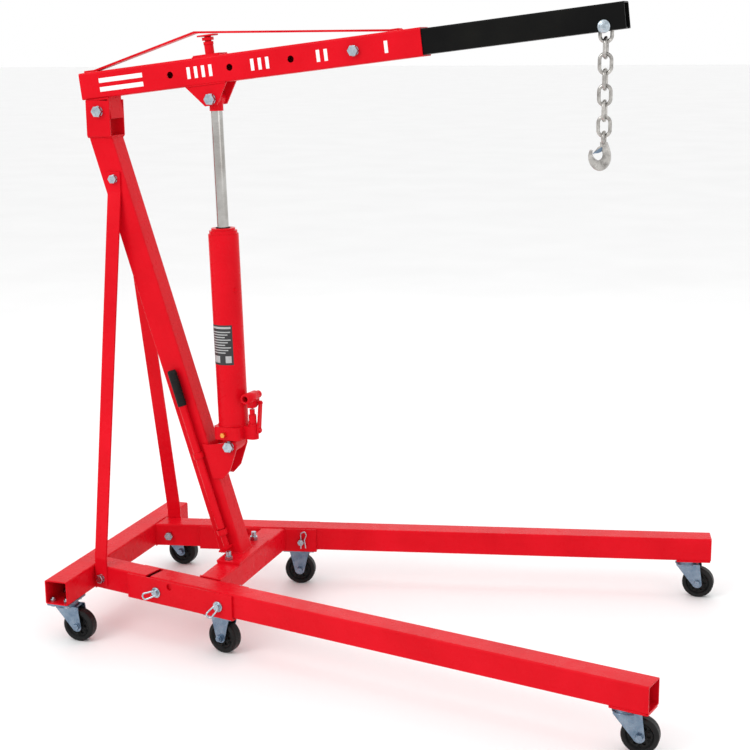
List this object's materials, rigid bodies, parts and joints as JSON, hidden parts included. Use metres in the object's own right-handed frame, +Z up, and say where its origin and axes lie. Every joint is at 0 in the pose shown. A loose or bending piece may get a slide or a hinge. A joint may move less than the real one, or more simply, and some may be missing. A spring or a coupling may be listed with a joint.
{
  "type": "engine hoist crane",
  "caption": "Folding wheeled engine hoist with a ram-raised boom, sliding extension, chain and hook.",
  "frame": {"origin": "on the floor, in the middle of the crane's length and width", "axes": "+X forward from the mast to the hook, +Y to the crane's left, +Z up"},
  "size_m": [1.5044, 0.9994, 1.5008],
  "materials": {
    "red_paint": "gloss red paint",
    "black_paint": "satin black paint",
    "zinc_plate": "bright zinc plate",
    "fastener_steel": "zinc-plated steel",
    "rod_chrome": "hard chrome",
    "wheel_rubber": "black nylon, satin",
    "grip_rubber": "black rubber, matt",
    "brass": "machined brass"
  },
  "bodies": {
    "base": {"rear_crossbeam": "red_paint", "side_tubes": "red_paint", "leg_channels": "red_paint", "front_crossbeam": "red_paint", "hitch_pins": "fastener_steel", "pin_clips": "fastener_steel", "rear_caster_plates": "zinc_plate", "middle_caster_forks": "zinc_plate", "base_bolts": "fastener_steel", "mast_tube": "red_paint", "mast_foot_plate": "red_paint", "mast_head_bracket": "red_paint", "mast_ram_lugs": "red_paint", "pivot_bolts": "fastener_steel", "braces": "red_paint", "brace_bolts": "fastener_steel", "handle_rings": "red_paint"},
    "boom": {"boom_tube": "red_paint", "boom_lugs": "red_paint", "boom_strap": "red_paint", "strap_post": "red_paint", "boom_bolts": "fastener_steel"},
    "extension": {"extension_tube": "black_paint", "chain_bolt": "fastener_steel"},
    "ram": {"ram_base": "red_paint", "ram_cylinder": "red_paint", "ram_gland": "red_paint", "pump_cylinder": "red_paint", "pump_link": "red_paint", "filler_plug": "grip_rubber"},
    "ram_rod": {"ram_rod": "rod_chrome", "ram_rod_head": "red_paint"},
    "pump_lever": {"pump_lever": "red_paint"},
    "pump_plunger": {"pump_plunger": "rod_chrome"},
    "release_valve": {"release_valve": "brass"},
    "pump_handle": {"handle_tube": "red_paint", "handle_grip": "grip_rubber"},
    "hook": {"hook": "zinc_plate"},
    "hook_latch": {"hook_latch": "zinc_plate"},
    "link_1": {"chain_link_1": "zinc_plate"},
    "link_2": {"chain_link_2": "zinc_plate"},
    "link_3": {"chain_link_3": "zinc_plate"},
    "link_4": {"chain_link_4": "zinc_plate"},
    "link_5": {"chain_link_5": "zinc_plate"},
    "link_6": {"chain_link_6": "zinc_plate"},
    "link_7": {"chain_link_7": "zinc_plate"},
    "leg_left": {"leg_left": "red_paint", "front_caster_plate_left": "red_paint"},
    "caster_rear_left": {"caster_fork_rear_left": "zinc_plate"},
    "caster_front_left": {"caster_fork_front_left": "zinc_plate"},
    "wheel_rear_left": {"caster_wheel_rear_left": "wheel_rubber"},
    "wheel_middle_left": {"caster_wheel_middle_left": "wheel_rubber"},
    "wheel_front_left": {"caster_wheel_front_left": "wheel_rubber"},
    "leg_right": {"leg_right": "red_paint", "front_caster_plate_right": "red_paint"},
    "caster_rear_right": {"caster_fork_rear_right": "zinc_plate"},
    "caster_front_right": {"caster_fork_front_right": "zinc_plate"},
    "wheel_rear_right": {"caster_wheel_rear_right": "wheel_rubber"},
    "wheel_middle_right": {"caster_wheel_middle_right": "wheel_rubber"},
    "wheel_front_right": {"caster_wheel_front_right": "wheel_rubber"}
  },
  "joints": [
    {"name": "boom_pivot", "type": "hinge", "parent": "base", "child": "boom", "pos_m": [-0.7009, 0, 1.262], "axis": [0, -1, 0], "range_deg": [-30, 25]},
    {"name": "ram_pivot", "type": "hinge", "parent": "base", "child": "ram", "pos_m": [-0.3839, 0, 0.446], "axis": [0, -1, 0], "range_deg": [-1, 1]},
    {"name": "ram_stroke", "type": "slide", "parent": "ram", "child": "ram_rod", "axis": [-0.023, 0, 0.9997], "range_m": [-0.152, 0.127]},
    {"name": "extension_slide", "type": "slide", "parent": "boom", "child": "extension", "axis": [0.9934, 0, 0.1149], "range_m": [-0.3108, 0]},
    {"name": "chain_swing_1", "type": "hinge", "parent": "extension", "child": "link_1", "pos_m": [0.52461, 0, 1.44878], "axis": [0, 1, 0], "range_deg": [-35, 35]},
    {"name": "chain_swing_2", "type": "hinge", "parent": "link_1", "child": "link_2", "pos_m": [0.52461, 0, 1.41608], "axis": [1, 0, 0], "range_deg": [-25, 25]},
    {"name": "chain_swing_3", "type": "hinge", "parent": "link_2", "child": "link_3", "pos_m": [0.52461, 0, 1.38248], "axis": [0, 1, 0], "range_deg": [-25, 25]},
    {"name": "chain_swing_4", "type": "hinge", "parent": "link_3", "child": "link_4", "pos_m": [0.52461, 0, 1.34888], "axis": [1, 0, 0], "range_deg": [-25, 25]},
    {"name": "chain_swing_5", "type": "hinge", "parent": "link_4", "child": "link_5", "pos_m": [0.52461, 0, 1.31528], "axis": [0, 1, 0], "range_deg": [-25, 25]},
    {"name": "chain_swing_6", "type": "hinge", "parent": "link_5", "child": "link_6", "pos_m": [0.52461, 0, 1.28168], "axis": [1, 0, 0], "range_deg": [-25, 25]},
    {"name": "chain_swing_7", "type": "hinge", "parent": "link_6", "child": "link_7", "pos_m": [0.52461, 0, 1.24808], "axis": [0, 1, 0], "range_deg": [-25, 25]},
    {"name": "hook_swing", "type": "hinge", "parent": "link_7", "child": "hook", "pos_m": [0.52461, 0, 1.21448], "axis": [1, 0, 0], "range_deg": [-25, 25]},
    {"name": "latch_hinge", "type": "hinge", "parent": "hook", "child": "hook_latch", "pos_m": [0.52311, 0, 1.19138], "axis": [0, -1, 0], "range_deg": [0, 20], "stiffness_Nm_per_rad": 0.05, "springref_deg": -17.19},
    {"name": "leg_fold_left", "type": "hinge", "parent": "base", "child": "leg_left", "pos_m": [-0.48683, 0.20679, 0.127], "axis": [0.2105, -0.9776, 0], "range_deg": [0, 90]},
    {"name": "swivel_rear_left", "type": "hinge", "parent": "base", "child": "caster_rear_left", "pos_m": [-0.7139, 0.285, 0.0977], "axis": [0, 0, 1], "continuous": true},
    {"name": "roll_rear_left", "type": "hinge", "parent": "caster_rear_left", "child": "wheel_rear_left", "pos_m": [-0.6819, 0.285, 0.04], "axis": [0, 1, 0], "continuous": true},
    {"name": "swivel_front_left", "type": "hinge", "parent": "leg_left", "child": "caster_front_left", "pos_m": [0.68023, 0.45805, 0.0977], "axis": [0, 0, 1], "continuous": true},
    {"name": "roll_front_left", "type": "hinge", "parent": "caster_front_left", "child": "wheel_front_left", "pos_m": [0.71223, 0.45805, 0.04], "axis": [0, 1, 0], "continuous": true},
    {"name": "roll_middle_left", "type": "hinge", "parent": "base", "child": "wheel_middle_left", "pos_m": [-0.31399, 0.244, 0.04], "axis": [-0.2105, 0.9776, 0], "continuous": true},
    {"name": "leg_fold_right", "type": "hinge", "parent": "base", "child": "leg_right", "pos_m": [-0.48683, -0.20679, 0.127], "axis": [-0.2105, -0.9776, 0], "range_deg": [0, 90]},
    {"name": "swivel_rear_right", "type": "hinge", "parent": "base", "child": "caster_rear_right", "pos_m": [-0.7139, -0.285, 0.0977], "axis": [0, 0, 1], "continuous": true},
    {"name": "roll_rear_right", "type": "hinge", "parent": "caster_rear_right", "child": "wheel_rear_right", "pos_m": [-0.6819, -0.285, 0.04], "axis": [0, 1, 0], "continuous": true},
    {"name": "swivel_front_right", "type": "hinge", "parent": "leg_right", "child": "caster_front_right", "pos_m": [0.68023, -0.45805, 0.0977], "axis": [0, 0, 1], "continuous": true},
    {"name": "roll_front_right", "type": "hinge", "parent": "caster_front_right", "child": "wheel_front_right", "pos_m": [0.71223, -0.45805, 0.04], "axis": [0, 1, 0], "continuous": true},
    {"name": "roll_middle_right", "type": "hinge", "parent": "base", "child": "wheel_middle_right", "pos_m": [-0.31399, -0.244, 0.04], "axis": [-0.2105, -0.9776, 0], "continuous": true},
    {"name": "pump_lever_swing", "type": "hinge", "parent": "ram", "child": "pump_lever", "pos_m": [-0.32103, 0.00496, 0.55348], "axis": [0.99, -0.1392, 0.0228], "range_deg": [-15, 35]},
    {"name": "pump_plunger_slide", "type": "slide", "parent": "ram", "child": "pump_plunger", "axis": [-0.023, 0, 0.9997], "range_m": [-0.009, 0.004]},
    {"name": "release_valve_turn", "type": "hinge", "parent": "ram", "child": "release_valve", "pos_m": [-0.39414, -0.03905, 0.47677], "axis": [-0.1391, -0.9903, -0.0032], "range_deg": [0, 180]},
    {"name": "handle_lift", "type": "slide", "parent": "base", "child": "pump_handle", "axis": [-0.289, 0, 0.9573], "range_m": [0, 0.3]}
  ],
  "couplings": [
    {"joint": "ram_pivot", "follows": "boom_pivot", "ratio": 0.02},
    {"joint": "ram_stroke", "follows": "boom_pivot", "m_per_rad": 0.2875},
    {"joint": "pump_plunger_slide", "follows": "pump_lever_swing", "m_per_rad": -0.014}
  ]
}
